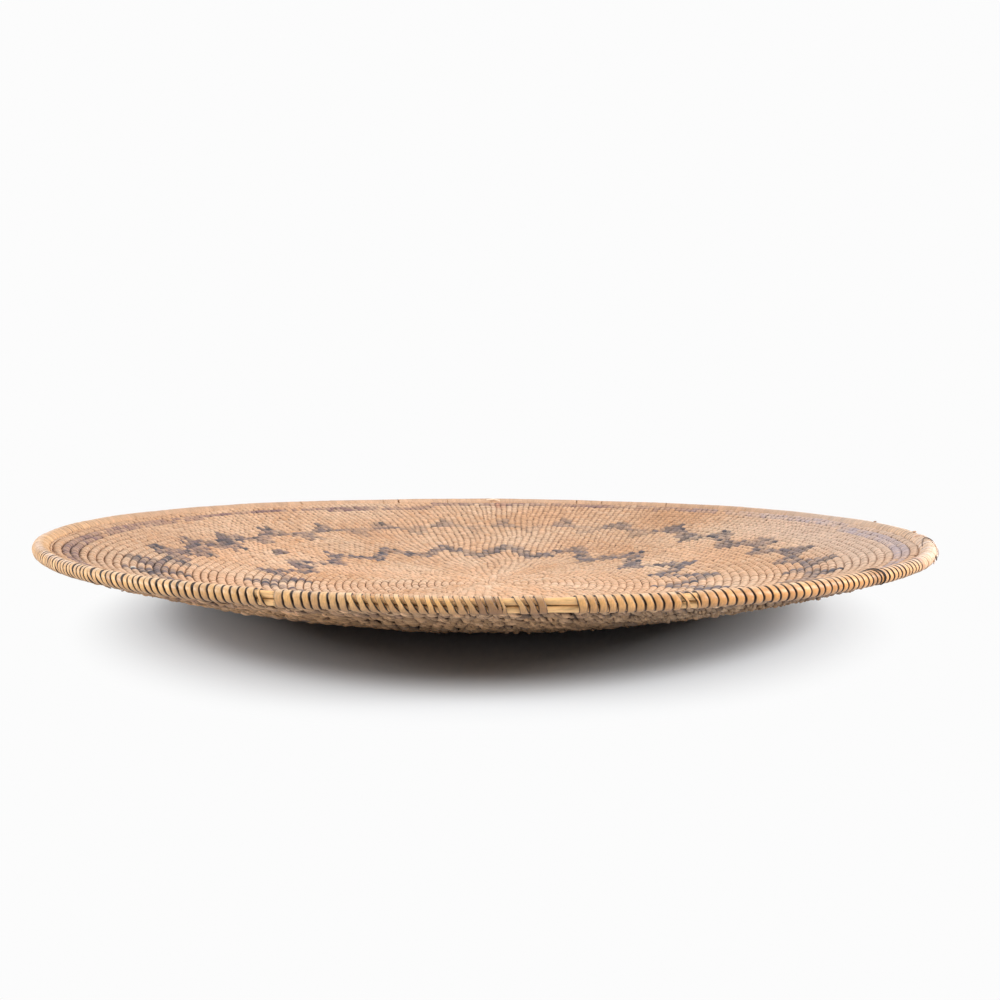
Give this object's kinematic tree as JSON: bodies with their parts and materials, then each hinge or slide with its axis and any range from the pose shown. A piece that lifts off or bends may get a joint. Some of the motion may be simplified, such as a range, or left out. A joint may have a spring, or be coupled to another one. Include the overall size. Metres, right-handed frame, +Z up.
{
  "type": "gambling tray",
  "caption": "Shallow round tray coiled from sewn plant fibre, with stepped zigzag bands, a dark ring and a bound rim of thin rods, for tossing dice or seeds.",
  "frame": {"origin": "centre of the base, on the surface that the tray stands on", "axes": "+Z up out of the dish, -Y towards the viewer of the picture, +X to the viewer's right"},
  "size_m": [0.5, 0.5, 0.0437],
  "materials": {
    "natural_coil": "matt sewn plant fibre, tan",
    "zigzag_coil": "matt sewn plant fibre, tan with grey-brown dyed stitches",
    "dark_coil": "matt sewn plant fibre, dyed brown-purple",
    "rim_rod": "smooth peeled twig, golden brown",
    "rim_binding": "satin split-fibre strand, pale gold"
  },
  "bodies": {
    "root": {"start_knot": "natural_coil", "centre_coil": "natural_coil", "base_coil_inner": "natural_coil", "base_coil_outer": "natural_coil", "inner_zigzag_coil_1": "zigzag_coil", "inner_zigzag_coil_2": "zigzag_coil", "inner_zigzag_coil_3": "zigzag_coil", "middle_coil_inner": "natural_coil", "middle_coil_outer": "natural_coil", "outer_zigzag_coil_1": "zigzag_coil", "outer_zigzag_coil_2": "zigzag_coil", "upper_coil_inner": "natural_coil", "upper_coil_outer": "natural_coil", "dark_band_coil": "dark_coil", "under_rim_coil": "natural_coil", "rim_rod_upper": "rim_rod", "rim_rod_lower": "rim_rod", "rim_rod_inner": "rim_rod", "binding_back_right": "rim_binding", "binding_back_left": "rim_binding", "binding_left": "rim_binding", "binding_front_left": "rim_binding", "binding_front_middle": "rim_binding", "binding_front_right": "rim_binding", "binding_right": "rim_binding", "rim_finish_knot": "rim_binding"}
  },
  "joints": []
}
